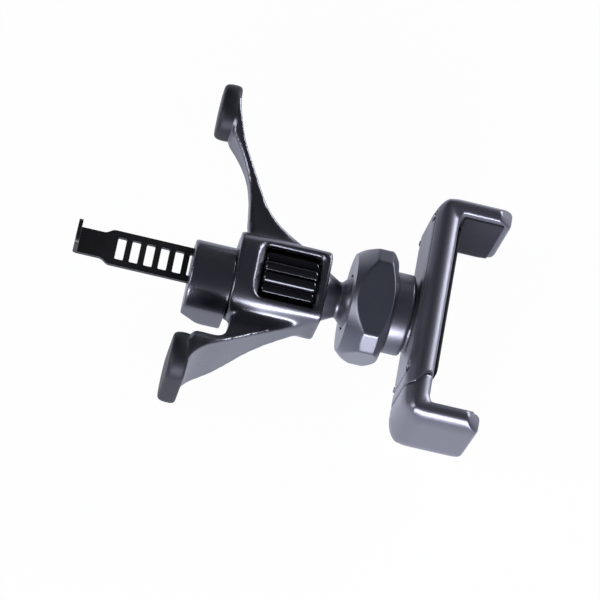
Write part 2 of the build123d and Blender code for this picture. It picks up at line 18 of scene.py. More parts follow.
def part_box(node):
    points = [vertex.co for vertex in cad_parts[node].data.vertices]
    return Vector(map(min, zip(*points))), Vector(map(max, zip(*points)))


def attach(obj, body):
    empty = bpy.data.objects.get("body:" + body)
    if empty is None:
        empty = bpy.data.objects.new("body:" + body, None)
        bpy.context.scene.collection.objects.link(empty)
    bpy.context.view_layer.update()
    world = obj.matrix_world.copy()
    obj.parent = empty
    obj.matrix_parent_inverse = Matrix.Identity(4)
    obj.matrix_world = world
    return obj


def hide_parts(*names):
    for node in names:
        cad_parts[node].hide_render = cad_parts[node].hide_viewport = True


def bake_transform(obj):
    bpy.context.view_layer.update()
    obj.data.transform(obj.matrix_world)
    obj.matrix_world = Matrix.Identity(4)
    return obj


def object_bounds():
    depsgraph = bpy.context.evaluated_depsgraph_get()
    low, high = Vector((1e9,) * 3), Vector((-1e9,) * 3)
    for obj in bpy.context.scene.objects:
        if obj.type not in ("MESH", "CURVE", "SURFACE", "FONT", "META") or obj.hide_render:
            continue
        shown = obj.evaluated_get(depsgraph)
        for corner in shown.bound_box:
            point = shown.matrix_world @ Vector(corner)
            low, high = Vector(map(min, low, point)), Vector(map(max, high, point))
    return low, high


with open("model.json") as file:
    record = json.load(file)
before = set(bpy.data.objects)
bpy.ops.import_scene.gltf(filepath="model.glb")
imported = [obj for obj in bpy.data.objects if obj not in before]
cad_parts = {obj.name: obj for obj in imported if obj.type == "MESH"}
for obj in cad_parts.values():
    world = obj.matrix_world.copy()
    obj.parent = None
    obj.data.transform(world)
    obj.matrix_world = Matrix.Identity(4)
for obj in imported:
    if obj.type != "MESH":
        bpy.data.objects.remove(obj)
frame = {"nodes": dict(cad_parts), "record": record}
cad_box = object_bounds()
MM = 0.001
print("CAD box in mm:", [round((b - a) / MM, 1) for a, b in zip(*cad_box)])

# %% [markdown]
# The photograph looks down on the holder from about 66 degrees above the table, from the side
# of the sliding jaw. A long lens from far away keeps the clamp's edges nearly parallel. A
# camera could be moved by hand until the picture fits. Here it is placed by its angles and
# distance, and the lens follows from the picture's scale, so each can be changed by itself.

# %% Place the camera
PICTURE = 600
PIXELS_PER_MM = 4.061
SENSOR = 36.0
VIEW_TURN = math.radians(-12.414)
VIEW_HEIGHT = math.radians(66.249)
VIEW_ROLL = math.radians(24.486)
VIEW_DISTANCE = 678.24 * MM
SHIFT_RIGHT = 3.587 * MM
SHIFT_DOWN = 2.96 * MM
NEAREST = 0.01
FARTHEST = 20
looked_at = Vector((25 * MM, 0, 0))


def placed(name, data):
    """A new object in the scene."""
    thing = bpy.data.objects.new(name, data)
    bpy.context.scene.collection.objects.link(thing)
    return thing


toward = Vector((
    math.sin(VIEW_TURN) * math.cos(VIEW_HEIGHT),
    -math.cos(VIEW_TURN) * math.cos(VIEW_HEIGHT),
    math.sin(VIEW_HEIGHT),
))
level = Vector((math.cos(VIEW_TURN), math.sin(VIEW_TURN), 0))
upward = toward.cross(level)
picture_right = level * math.cos(VIEW_ROLL) + upward * math.sin(VIEW_ROLL)
picture_up = upward * math.cos(VIEW_ROLL) - level * math.sin(VIEW_ROLL)
centre = looked_at + picture_right * SHIFT_RIGHT - picture_up * SHIFT_DOWN

camera = placed("camera", bpy.data.cameras.new("camera"))
camera.matrix_world = Matrix.Translation(centre + toward * VIEW_DISTANCE) @ Matrix(
    (picture_right, picture_up, toward)
).transposed().to_4x4()
camera.data.sensor_width = SENSOR
camera.data.lens = VIEW_DISTANCE / MM * PIXELS_PER_MM / PICTURE * SENSOR
camera.data.clip_start = NEAREST
camera.data.clip_end = FARTHEST
bpy.context.scene.camera = camera
print("lens in mm:", round(camera.data.lens, 1))

# %% [markdown]
# Materials, the sky and the Geometry Nodes further down are all node trees. They could be drawn
# in the node editor, but a script is easier to read and to repeat. A few helpers keep it short:
# one line for a node, one for a link and one for each step of a formula.

# %% Helpers for node trees
WHITE = (1.0, 1.0, 1.0)


def tree_of(owner):
    """The node tree of a material or world, emptied."""
    owner.use_nodes = True
    owner.node_tree.nodes.clear()
    return owner.node_tree


def add(tree, kind, **settings):
    """A new node, with its properties set."""
    node = tree.nodes.new(kind)
    for name, value in settings.items():
        setattr(node, name, value)
    return node


def join(tree, source, target):
    """A link from one socket to another."""
    tree.links.new(source, target)


def calc(tree, operation, *values, clamp=False):
    """One step of a formula: a Math node whose inputs are numbers or sockets."""
    node = add(tree, "ShaderNodeMath", operation=operation, use_clamp=clamp)
    for socket, value in zip(node.inputs, values):
        if isinstance(value, (int, float)):
            socket.default_value = value
        else:
            join(tree, value, socket)
    return node.outputs[0]


def tint(tree, factor, first, second):
    """A mix of two colours, either of which may be a socket."""
    node = add(tree, "ShaderNodeMix", data_type="RGBA")
    join(tree, factor, node.inputs["Factor"])
    for label, colour in (("A", first), ("B", second)):
        socket = [s for s in node.inputs if s.name == label and s.type == "RGBA"][0]
        if isinstance(colour, tuple):
            socket.default_value = (*colour, 1)
        else:
            join(tree, colour, socket)
    return [s for s in node.outputs if s.type == "RGBA"][0]


# %% [markdown]
# The photograph has a pure white ground. If a white sky also lit the holder, every dark face
# that looks up would turn grey. So the sky is split by the Light Path: the camera sees white,
# while the holder gets only a faint bluish light from above.

# %% Paint the sky
SKY_COLOUR = (0.86, 0.88, 1.0)
SKY_STRENGTH = 0.07

world = bpy.data.worlds.new("studio")
bpy.context.scene.world = world
sky = tree_of(world)
sky_out = add(sky, "ShaderNodeOutputWorld")
sky_seen = add(sky, "ShaderNodeBackground")
sky_seen.inputs["Color"].default_value = (*WHITE, 1)
sky_lit = add(sky, "ShaderNodeBackground")
sky_lit.inputs["Color"].default_value = (*SKY_COLOUR, 1)
sky_lit.inputs["Strength"].default_value = SKY_STRENGTH
sky_mix = add(sky, "ShaderNodeMixShader")
sky_path = add(sky, "ShaderNodeLightPath")
join(sky, sky_path.outputs["Is Camera Ray"], sky_mix.inputs["Fac"])
join(sky, sky_lit.outputs[0], sky_mix.inputs[1])
join(sky, sky_seen.outputs[0], sky_mix.inputs[2])
join(sky, sky_mix.outputs[0], sky_out.inputs["Surface"])
print("sky strength:", SKY_STRENGTH)

# %% [markdown]
# The holder lies on a wide pale table. What the camera and the reflections see of it is plain
# white, as in a product photograph, and a small matt share still takes a soft shadow. Faces
# that look down and to the sides pick up this white, and so stand out from those that look up.

# %% Lay the table
TABLE_HALF = 1.6
TABLE_GAP = 0.2 * MM
TABLE_SHARE = 0.97
TABLE_REFLECTED = (0.84, 0.87, 1.0)
TABLE_MATT = (0.86, 0.86, 0.87)

table_material = bpy.data.materials.new("white_table")
table = tree_of(table_material)
table_out = add(table, "ShaderNodeOutputMaterial")
table_path = add(table, "ShaderNodeLightPath")
table_white = add(table, "ShaderNodeEmission")
table_matt = add(table, "ShaderNodeBsdfDiffuse")
table_matt.inputs["Color"].default_value = (*TABLE_MATT, 1)
table_mix = add(table, "ShaderNodeMixShader")
by_camera = table_path.outputs["Is Camera Ray"]
join(table, tint(table, by_camera, TABLE_REFLECTED, WHITE), table_white.inputs["Color"])
plain = calc(table, "MAXIMUM", by_camera, table_path.outputs["Is Glossy Ray"])
plain = calc(table, "MAXIMUM", plain, table_path.outputs["Is Transmission Ray"])
join(table, calc(table, "MULTIPLY", plain, TABLE_SHARE), table_mix.inputs["Fac"])
join(table, table_matt.outputs[0], table_mix.inputs[1])
join(table, table_white.outputs[0], table_mix.inputs[2])
join(table, table_mix.outputs[0], table_out.inputs["Surface"])

table_top = cad_box[0].z - TABLE_GAP
floor_mesh = bpy.data.meshes.new("table")
floor_mesh.from_pydata(
    [(x * TABLE_HALF, y * TABLE_HALF, table_top) for x, y in ((-1, -1), (1, -1), (1, 1), (-1, 1))],
    [], [(0, 1, 2, 3)],
)
floor_mesh.materials.append(table_material)
floor = placed("table", floor_mesh)
print("table top at mm:", round(table_top / MM, 2))

# %% [markdown]
# The light in the photograph is soft and seems to come from large panels low around the
# holder. Small lamps would leave hard spots on the rounded edges, and a panel above would grey
# the tops. Area lamps low at the left, in front and behind give long, soft highlights instead.

# %% Hang the soft panels
for panel_name, panel_place, panel_size, watts, panel_colour in (
    ("left_panel", (-0.80, -0.25, 0.40), (0.4, 0.7), 5.0, (0.95, 0.95, 1.0)),
    ("front_panel", (0.10, -0.95, 0.20), (1.2, 0.30), 22.0, (0.90, 0.91, 1.0)),
    ("back_panel", (0.75, 0.70, 0.30), (0.9, 0.35), 12.0, (0.92, 0.93, 1.0)),
):
    lamp = bpy.data.lights.new(panel_name, "AREA")
    lamp.shape = "RECTANGLE"
    lamp.size, lamp.size_y = panel_size
    lamp.energy = watts
    lamp.color = panel_colour
    panel = placed(panel_name, lamp)
    panel.location = panel_place
    aim = looked_at - Vector(panel_place)
    panel.rotation_euler = aim.to_track_quat("-Z", "Y").to_euler()
    print(panel_name, "watts:", watts)
bpy.context.scene.view_settings.view_transform = "Standard"

# %% [markdown]
# Almost every piece is dark plastic, so small differences tell the finishes apart. The first is
# the texture of the mould: fine grain with small pits, and a faint mottle over larger areas. A
# picture could be wrapped round each piece, but noise on Object coordinates needs no seams. It
# is a node group, built once and placed in each material with its own values.

# %% Effect one, the grain of a mould
GRAIN_DETAIL = 3.0
MOTTLE_SCALE = 130.0
MOTTLE_DETAIL = 4.0


def new_group(name, inputs, outputs):
    """A shader group with float inputs, given with their defaults, and named outputs."""
    group = bpy.data.node_groups.new(name, "ShaderNodeTree")
    for label, value in inputs:
        socket = group.interface.new_socket(label, in_out="INPUT", socket_type="NodeSocketFloat")
        socket.default_value = value
    for label, kind in outputs:
        group.interface.new_socket(label, in_out="OUTPUT", socket_type=kind)
    return group, add(group, "NodeGroupInput"), add(group, "NodeGroupOutput")


grain, grain_in, grain_out = new_group(
    "mould_grain", [("Scale", 4000.0), ("Pits", 0.5)],
    [("Height", "NodeSocketFloat"), ("Mottle", "NodeSocketFloat")],
)
grain_place = add(grain, "ShaderNodeTexCoord")
grain_noise = add(grain, "ShaderNodeTexNoise")
grain_noise.inputs["Detail"].default_value = GRAIN_DETAIL
grain_cells = add(grain, "ShaderNodeTexVoronoi", feature="SMOOTH_F1")
grain_mix = add(grain, "ShaderNodeMix", data_type="FLOAT")
grain_cloud = add(grain, "ShaderNodeTexNoise")
grain_cloud.inputs["Scale"].default_value = MOTTLE_SCALE
grain_cloud.inputs["Detail"].default_value = MOTTLE_DETAIL
for texture in (grain_noise, grain_cells, grain_cloud):
    join(grain, grain_place.outputs["Object"], texture.inputs["Vector"])
join(grain, grain_in.outputs["Scale"], grain_noise.inputs["Scale"])
join(grain, grain_in.outputs["Scale"], grain_cells.inputs["Scale"])
join(grain, grain_in.outputs["Pits"], grain_mix.inputs["Factor"])
join(grain, grain_noise.outputs["Fac"], grain_mix.inputs["A"])
join(grain, grain_cells.outputs["Distance"], grain_mix.inputs["B"])
join(grain, grain_mix.outputs["Result"], grain_out.inputs["Height"])
join(grain, grain_cloud.outputs["Fac"], grain_out.inputs["Mottle"])
print("grain nodes:", len(grain.nodes))

# %% [markdown]
# On the real holder each edge shows a thin bright line: no moulded edge is sharp, so its
# rounding catches the light, and hands rub it first. The Bevel node rounds the normal near an
# edge without any new faces. How far that normal leaves the true one is also a mask of the edges,
# for a paler colour there that is partly wear and partly a painted highlight.

# %% Effect two, edges that catch the light
EDGE_SAMPLES = 6

edge, edge_in, edge_out = new_group(
    "soft_edge", [("Radius", 0.0003), ("Reach", 6.0)],
    [("Normal", "NodeSocketVector"), ("Mask", "NodeSocketFloat")],
)
edge_round = add(edge, "ShaderNodeBevel", samples=EDGE_SAMPLES)
edge_true = add(edge, "ShaderNodeNewGeometry")
edge_dot = add(edge, "ShaderNodeVectorMath", operation="DOT_PRODUCT")
join(edge, edge_in.outputs["Radius"], edge_round.inputs["Radius"])
join(edge, edge_round.outputs["Normal"], edge_dot.inputs[0])
join(edge, edge_true.outputs["Normal"], edge_dot.inputs[1])
edge_lean = calc(edge, "SUBTRACT", 1.0, edge_dot.outputs["Value"])
edge_mask = calc(edge, "MULTIPLY", edge_lean, edge_in.outputs["Reach"], clamp=True)
join(edge, edge_round.outputs["Normal"], edge_out.inputs["Normal"])
join(edge, edge_mask, edge_out.inputs["Mask"])
print("edge nodes:", len(edge.nodes))

# %% [markdown]
# Dark plastic also shows that it has been held: smears that change its gloss, and specks of
# dust. A warped noise gives the smears. The specks are the middles of Voronoi cells, which is
# cheaper than scattering real grains and stays on the surface in every pose.

# %% Effect three, the trace of hands and dust
SMEAR_DETAIL = 5.0
SMEAR_WARP = 0.6
SPECK_SCALE = 900.0
SPECK_SIZE = 0.07

touch, touch_in, touch_out = new_group(
    "handling", [("Scale", 60.0), ("Dust", 0.3)],
    [("Smear", "NodeSocketFloat"), ("Specks", "NodeSocketFloat")],
)
touch_place = add(touch, "ShaderNodeTexCoord")
touch_smear = add(touch, "ShaderNodeTexNoise")
touch_smear.inputs["Detail"].default_value = SMEAR_DETAIL
touch_smear.inputs["Distortion"].default_value = SMEAR_WARP
touch_cells = add(touch, "ShaderNodeTexVoronoi")
touch_cells.inputs["Scale"].default_value = SPECK_SCALE
join(touch, touch_place.outputs["Object"], touch_smear.inputs["Vector"])
join(touch, touch_place.outputs["Object"], touch_cells.inputs["Vector"])
join(touch, touch_in.outputs["Scale"], touch_smear.inputs["Scale"])
speck = calc(touch, "LESS_THAN", touch_cells.outputs["Distance"], SPECK_SIZE)
touch_dust = calc(touch, "MULTIPLY", speck, touch_in.outputs["Dust"])
join(touch, touch_smear.outputs["Fac"], touch_out.inputs["Smear"])
join(touch, touch_dust, touch_out.inputs["Specks"])
print("effects:", [g.name for g in bpy.data.node_groups])

# %% [markdown]
# One recipe serves all finishes, so that they differ in values and not in wiring. The base
# colour is mottled a little, grows paler at edges, partly as wear and partly as a painted
# highlight, and takes a few specks of dust. The roughness follows the smears. The grain goes
# through a Bump node on top of the rounded edges, so both show in the highlights.

# %% The finish recipe
MOTTLE_GAIN = 1.35
DUST_GAIN = 2.5
SHEEN_ROUGHNESS = 0.4


def placed_group(tree, group, **values):
    """A group in a material, with its inputs set."""
    node = add(tree, "ShaderNodeGroup", node_tree=group)
    for name, value in values.items():
        node.inputs[name].default_value = value
    return node


def spread(tree, source, low, high):
    """A 0 to 1 value, turned into one from low to high."""
    node = add(tree, "ShaderNodeMapRange")
    node.inputs["To Min"].default_value = low
    node.inputs["To Max"].default_value = high
    join(tree, source, node.inputs["Value"])
    return node.outputs["Result"]


def finish(name, colour, edge_wear_and_highlight, rough, grain_scale, grain_depth, pits=0.5,
           edge_radius=0.25, edge_wear_highlight_share=0.35, dust=0.25, metallic=0.0, sheen=0.0, specular=0.5,
           cast=WHITE, ior=1.5):
    """A finish from its colour, its paler edge colour (wear and a painted highlight), and its
    roughness range.

    The grain's depth and the edge's radius are in mm, and cast tints the highlights.
    """
    material = bpy.data.materials.new(name)
    tree = tree_of(material)
    out = add(tree, "ShaderNodeOutputMaterial")
    shader = add(tree, "ShaderNodeBsdfPrincipled")
    shader.inputs["Metallic"].default_value = metallic
    shader.inputs["Specular IOR Level"].default_value = specular
    shader.inputs["IOR"].default_value = ior
    shader.inputs["Sheen Weight"].default_value = sheen
    shader.inputs["Sheen Roughness"].default_value = SHEEN_ROUGHNESS
    shader.inputs["Sheen Tint"].default_value = (*cast, 1)
    shader.inputs["Specular Tint"].default_value = (*cast, 1)
    grained = placed_group(tree, grain, Scale=grain_scale, Pits=pits)
    edged = placed_group(tree, edge, Radius=edge_radius * MM)
    touched = placed_group(tree, touch, Dust=dust)
    paler = tuple(c * MOTTLE_GAIN for c in colour)
    mottled = tint(tree, grained.outputs["Mottle"], colour, paler)
    # The paler colour at edges is partly wear and partly a painted highlight on the rounded edge.
    rubbed_and_highlit = calc(tree, "MULTIPLY", edged.outputs["Mask"], edge_wear_highlight_share)
    worn_and_highlit = tint(tree, rubbed_and_highlit, mottled, edge_wear_and_highlight)
    dust_colour = tuple(min(1, c * DUST_GAIN) for c in edge_wear_and_highlight)
    dusty = tint(tree, touched.outputs["Specks"], worn_and_highlit, dust_colour)
    join(tree, dusty, shader.inputs["Base Color"])
    join(tree, spread(tree, touched.outputs["Smear"], *rough), shader.inputs["Roughness"])
    bump = add(tree, "ShaderNodeBump")
    bump.inputs["Strength"].default_value = 1.0
    bump.inputs["Distance"].default_value = grain_depth * MM
    join(tree, grained.outputs["Height"], bump.inputs["Height"])
    join(tree, edged.outputs["Normal"], bump.inputs["Normal"])
    join(tree, bump.outputs["Normal"], shader.inputs["Normal"])
    join(tree, shader.outputs[0], out.inputs["Surface"])
    return material


# %% [markdown]
# The arms, the nose and the clamp are moulded in a tool with a fine matt texture. The nut and
# the ball stem are smoother, and the wheel is glossy. Their highlights have a lavender cast in
# the photograph, which a tinted specular gives without changing the dark base.

# %% The plastics
LAVENDER = (0.86, 0.87, 1.0)
matt_plastic = finish(
    "matt_plastic", (0.009, 0.009, 0.012), (0.06, 0.06, 0.075), (0.24, 0.32), 4200, 0.008,
    edge_wear_highlight_share=0.2, sheen=0.04, specular=1.0, cast=LAVENDER, ior=1.7)
clamp_plastic = finish(
    "clamp_plastic", (0.020, 0.020, 0.026), (0.07, 0.07, 0.085), (0.28, 0.38), 5200, 0.007,
    sheen=0.30, specular=1.0, cast=LAVENDER, ior=1.7)
satin_plastic = finish(
    "satin_plastic", (0.018, 0.018, 0.023), (0.06, 0.06, 0.075), (0.28, 0.38), 7000, 0.004,
    sheen=0.20, specular=1.0, cast=LAVENDER, ior=1.7)
nut_plastic = finish(
    "nut_plastic", (0.022, 0.024, 0.032), (0.12, 0.12, 0.145), (0.26, 0.34), 7000, 0.003,
    edge_wear_highlight_share=0.7, sheen=0.10, specular=1.0, cast=LAVENDER, ior=1.6)
gloss_plastic = finish(
    "gloss_plastic", (0.004, 0.004, 0.005), (0.04, 0.04, 0.05), (0.12, 0.20), 2500, 0.002,
    dust=0.1, edge_radius=0.12, specular=0.7, cast=LAVENDER)
nylon = finish(
    "nylon", (0.62, 0.60, 0.55), (0.75, 0.73, 0.68), (0.38, 0.48), 3000, 0.004)
plastics = (matt_plastic, clamp_plastic, satin_plastic, nut_plastic, gloss_plastic, nylon)
print("plastics:", [m.name for m in plastics])

# %% [markdown]
# The hook is steel with a thin black coat that is worn at its edges, where the paler colour is
# also a painted highlight, and the screws, rods and springs are bare plated steel. Rubber and
# foam are as dark as the plastic, but much rougher and with a deeper, pitted grain, so that they
# read as soft.

# %% The steels and the soft finishes
coated_steel = finish(
    "coated_steel", (0.006, 0.006, 0.007), (0.10, 0.10, 0.11), (0.34, 0.46), 6000, 0.004,
    edge_radius=0.12, edge_wear_highlight_share=0.8, specular=0.4)
plated_steel = finish(
    "plated_steel", (0.50, 0.50, 0.52), (0.72, 0.72, 0.74), (0.24, 0.34), 6000, 0.002,
    metallic=1.0, edge_radius=0.08)
rubber = finish(
    "rubber", (0.005, 0.005, 0.007), (0.03, 0.03, 0.042), (0.48, 0.60), 3200, 0.02, pits=0.8,
    dust=0.4, sheen=0.03, specular=0.4, cast=LAVENDER)
foam_pad = finish(
    "foam_pad", (0.007, 0.007, 0.010), (0.02, 0.02, 0.026), (0.70, 0.84), 3600, 0.04, pits=1.0,
    dust=0.3, sheen=0.08, specular=0.4, cast=LAVENDER)
print("others:", [m.name for m in (coated_steel, plated_steel, rubber, foam_pad)])

# %% [markdown]
# The hook, the rods and the shells inside the socket have plain, crisp forms, and the CAD
# solids show them as they are. A CAD solid reaches Blender as loose triangles, one flat facet
# after another. A copy with its doubles merged can be shaded smooth, with hard edges kept where
# two faces meet at an angle, and with normals weighted by area so that broad faces stay flat
# beside their small roundings. The copy then stands for the node.

# %% Smooth copies of the CAD solids
WELD = 0.002 * MM
SLIVER_AREA = 1e-14
CREASE = 30
body_of_node = {n: body for body, ns in frame["record"]["behaviour"]["bodies"].items() for n in ns}


def merged_mesh(node, name):
    """A welded copy of a CAD node's mesh."""
    work = bmesh.new()
    work.from_mesh(frame["nodes"][node].data)
    bmesh.ops.remove_doubles(work, verts=work.verts, dist=WELD)
    mesh = bpy.data.meshes.new(name)
    work.verts.index_update()
    mesh.from_pydata(
        [tuple(v.co) for v in work.verts], [],
        [[v.index for v in f.verts] for f in work.faces if f.calc_area() > SLIVER_AREA],
    )
    work.free()
    return mesh


def weigh_normals(piece, crease):
    """Smooth shading that keeps hard edges above the crease angle."""
    piece.data.shade_smooth()
    piece.data.set_sharp_from_angle(angle=math.radians(crease))
    weigh = piece.modifiers.new("weigh", "WEIGHTED_NORMAL")
    weigh.keep_sharp = True


def triangles(piece):
    """How many triangles a piece has."""
    return sum(len(p.vertices) - 2 for p in piece.data.polygons)


def dress(node, material):
    """A smooth piece that stands for a CAD node, in its finish."""
    name = node + "_dressed"
    piece = placed(name, merged_mesh(node, name))
    piece.data.materials.append(material)
    weigh_normals(piece, CREASE)
    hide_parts(node)
    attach(piece, body_of_node[node])
    print(name, "triangles:", triangles(piece))


dress("hook_strap", coated_steel)
dress("ball_liner", nylon)
dress("friction_pad", rubber)
dress("guide_rod_upper", plated_steel)
dress("guide_rod_lower", plated_steel)
dress("socket_screw", plated_steel)

# %% [markdown]
# A mould leaves no sharp corner. Every edge is rounded by some tenths of a millimetre, and where
# two forms meet, a larger fillet fills the corner. Bevels on this many trimmed faces would tear,
# so a fine voxel skin is laid over each solid and then smoothed.

# %% Lay a voxel skin
def as_mesh(thing):
    """The evaluated result of an object's modifiers, as a plain mesh."""
    graph = bpy.context.evaluated_depsgraph_get()
    return bpy.data.meshes.new_from_object(thing.evaluated_get(graph))


def skin_of(node, voxel):
    """A closed skin of small squares over a CAD node."""
    core = placed(node + "_core", merged_mesh(node, node + "_core"))
    wrap = core.modifiers.new("wrap", "REMESH")
    wrap.mode = "VOXEL"
    wrap.voxel_size = voxel
    mesh = as_mesh(core)
    bpy.data.objects.remove(core)
    return mesh


def thinned(mesh, keep):
    """The same skin with fewer triangles where it is flat."""
    carrier = placed("carrier", mesh)
    thin = carrier.modifiers.new("thin", "DECIMATE")
    thin.ratio = keep
    result = as_mesh(carrier)
    bpy.data.objects.remove(carrier)
    return result


# %% [markdown]
# Smoothing moves each point towards the mean of its neighbours. Blender has a Smooth modifier
# for this, but here each point's share of the move is worked out from the shape, so the step
# is written with arrays. Relaxing rounds edges and fills corners. Steadying evens out the small
# steps of the voxels and keeps the form: each pull inwards is followed by a slightly stronger
# push outwards.

# %% Relax and steady a skin
HALFWAY = 0.5
STEADY_IN = 0.60
STEADY_OUT = -0.62


def points_of(mesh, kind="co"):
    """The places, or the normals, of a mesh's points as rows."""
    values = np.empty(len(mesh.vertices) * 3)
    mesh.vertices.foreach_get(kind, values)
    return values.reshape(-1, 3)


def move_points(mesh, points):
    """Puts a mesh's points at new places."""
    mesh.vertices.foreach_set("co", points.ravel())
    mesh.update()


def neighbour_mean(mesh):
    """A function that averages rows of values over each point's neighbours."""
    ends = np.empty(len(mesh.edges) * 2, dtype=np.int32)
    mesh.edges.foreach_get("vertices", ends)
    first, second = ends.reshape(-1, 2).T
    total = len(mesh.vertices)
    count = np.bincount(ends, minlength=total)

    def mean(values):
        """Each column's sum over both ends of all edges, divided by the count."""
        sums = [
            np.bincount(first, column[second], total) + np.bincount(second, column[first], total)
            for column in values.T
        ]
        return np.stack(sums, axis=1) / count[:, None]

    return mean


def relax(mesh, rounds, share=None):
    """Draws the points halfway to their neighbours' mean, each by its share."""
    mean = neighbour_mean(mesh)
    points = points_of(mesh)
    pull = HALFWAY if share is None else HALFWAY * share[:, None]
    for _ in range(rounds):
        points += pull * (mean(points) - points)
    move_points(mesh, points)


def steady(mesh, rounds, share):
    """Evens out small steps and keeps the form."""
    mean = neighbour_mean(mesh)
    points = points_of(mesh)
    for _ in range(rounds):
        for pull in (STEADY_IN, STEADY_OUT):
            points += pull * share[:, None] * (mean(points) - points)
    move_points(mesh, points)


# %% [markdown]
# A moulded piece is then its skin, shaped by its own rule if it has one, relaxed, thinned where
# it is flat, and put in the place of its CAD node.

# %% Make a moulded piece
ROUNDS = 4
KEPT_SHARE = 0.3
SKIN_CREASE = 75


def moulded(node, material, voxel, rounds=ROUNDS, keep=KEPT_SHARE, shape=None):
    """A moulded piece that stands for a CAD node, with rounded edges."""
    mesh = skin_of(node, voxel)
    if shape:
        shape(mesh)
    relax(mesh, rounds)
    if keep < 1:
        mesh = thinned(mesh, keep)
    mesh.name = node + "_moulded"
    mesh.materials.clear()
    mesh.materials.append(material)
    piece = placed(node + "_moulded", mesh)
    weigh_normals(piece, SKIN_CREASE)
    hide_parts(node)
    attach(piece, body_of_node[node])
    print(node + "_moulded triangles:", triangles(piece))


# %% [markdown]
# The yoke is the largest moulding. Its arms flow out of the barrel in wide saddles, so the
# hollows beside the barrel are relaxed a lot, and those behind the feet a little. A hollow is
# found by its shape: the mean of a point's neighbours lies on the outer side of the surface.
# The wheel's chamber is left out, because the wheel has to turn in it.

# %% Mould the yoke
wheel_low, wheel_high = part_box("thumb_wheel")
CHAMBER_ROOM = 0.8 * MM
CHAMBER = wheel_high.z + CHAMBER_ROOM
SADDLE_FROM = 8.3 * MM
SADDLE_TO = 17.0 * MM
SADDLE_ROUNDS = 60
SADDLE_RINGS = 7
FOOT_DEPTH = 12.0 * MM
FOOT_ROUNDS = 12
FOOT_RINGS = 4
ARMS_FROM = 11.0 * MM
ARMS_BLEND = 3.0 * MM
ARMS_ROUNDS = 200
HOLLOW_DEPTH = 0.012 * MM
BORDER_ROUNDS = 8


def near_hollows(mesh, within, rings):
    """1 within some rings of a hollow corner and 0 elsewhere, with a soft border."""
    mean = neighbour_mean(mesh)
    points = points_of(mesh)
    lift = ((mean(points) - points) * points_of(mesh, "normal")).sum(axis=1)
    mark = ((lift > HOLLOW_DEPTH) & within).astype(float)[:, None]
    for _ in range(rings):
        mark = ((mean(mark) > 0) & within[:, None]).astype(float)
    for _ in range(BORDER_ROUNDS):
        mark = mean(mark)
    return mark[:, 0]


def yoke_fillets(mesh):
    """Even arms, wide saddles beside the barrel and small fillets behind the feet."""
    x, y, z = np.abs(points_of(mesh)).T
    steady(mesh, ARMS_ROUNDS, np.clip((y - ARMS_FROM) / ARMS_BLEND, 0, 1))
    beside = (y > SADDLE_FROM) & (y < SADDLE_TO) & (np.hypot(y, z) > CHAMBER)
    relax(mesh, SADDLE_ROUNDS, near_hollows(mesh, beside, SADDLE_RINGS))
    behind = (y >= SADDLE_TO) & (x < FOOT_DEPTH)
    relax(mesh, FOOT_ROUNDS, near_hollows(mesh, behind, FOOT_RINGS))


moulded("yoke", matt_plastic, 0.30 * MM, rounds=8, keep=1, shape=yoke_fillets)

# %% [markdown]
# The nose, the ball's stem and the socket are small round forms with crisp edges. They get the
# same skin as the yoke. The stem and the socket have finer squares and fewer rounds, so that
# their grooves and their fit on the nut stay sharp.

# %% Mould the nose, the stem and the socket
moulded("nose_guide", matt_plastic, 0.30 * MM)
moulded("ball_stud", satin_plastic, 0.25 * MM, rounds=3)
moulded("socket_collar", satin_plastic, 0.25 * MM, rounds=2)

# %% [markdown]
# The bar and the jaws of the clamp have a bull-nosed section: flat sides, full long edges and a
# low crown between them. One rule shapes them all: towards the edges, each point is drawn to the
# line that runs through the middle of the bar and of both jaws, and the crown falls away with
# the distance from that line. Pads and cover follow the same rule, so that they stay flush.

# %% Give the clamp its section
bar_low, bar_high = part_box("clamp_body")
BAR_MIDDLE = (bar_low.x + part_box("bed_pad")[0].x) / 2
BAR_HALF = BAR_MIDDLE - bar_low.x
JAW_MIDDLE = (bar_high.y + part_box("fixed_jaw_pad")[0].y) / 2
JAW_CORNER = 5 * MM
NOSE_FROM = 6.5 * MM
NOSE_FULLNESS = 0.98
CROWN = 1.1 * MM
OUTER_PULL = 0.50
INNER_PULL = 0.20


def bull_nose(mesh):
    """Rounds the long edges of the clamp's section."""
    points = points_of(mesh)
    x, y, z = points.T.copy()
    on_jaw = (np.abs(y) - JAW_MIDDLE) > (BAR_MIDDLE - x)
    on_jaw &= (x > BAR_MIDDLE) & (np.abs(y) > JAW_MIDDLE - JAW_CORNER)
    middle_x = np.where(on_jaw, np.maximum(x, BAR_MIDDLE), BAR_MIDDLE)
    middle_y = np.where(on_jaw, np.sign(y) * JAW_MIDDLE, np.clip(y, -JAW_MIDDLE, JAW_MIDDLE))
    outward = np.clip((np.abs(z) - NOSE_FROM) / (bar_high.z - NOSE_FROM), 0, 1)
    inner = np.where(on_jaw, JAW_MIDDLE - np.abs(y), x - BAR_MIDDLE)
    inner_share = np.clip(0.5 + inner / BAR_HALF / 2, 0, 1)
    pull = OUTER_PULL + (INNER_PULL - OUTER_PULL) * inner_share
    keep = 1 - pull * (1 - np.sqrt(1 - NOSE_FULLNESS * outward ** 2))
    off_line = np.where(on_jaw, np.abs(np.abs(y) - JAW_MIDDLE), np.abs(x - BAR_MIDDLE))
    fall = np.clip(off_line / BAR_HALF, 0, 1) ** 2
    points[:, 2] = np.sign(z) * (np.abs(z) - CROWN * fall * outward)
    points[:, 0] = middle_x + (x - middle_x) * keep
    points[:, 1] = middle_y + (y - middle_y) * keep
    move_points(mesh, points)


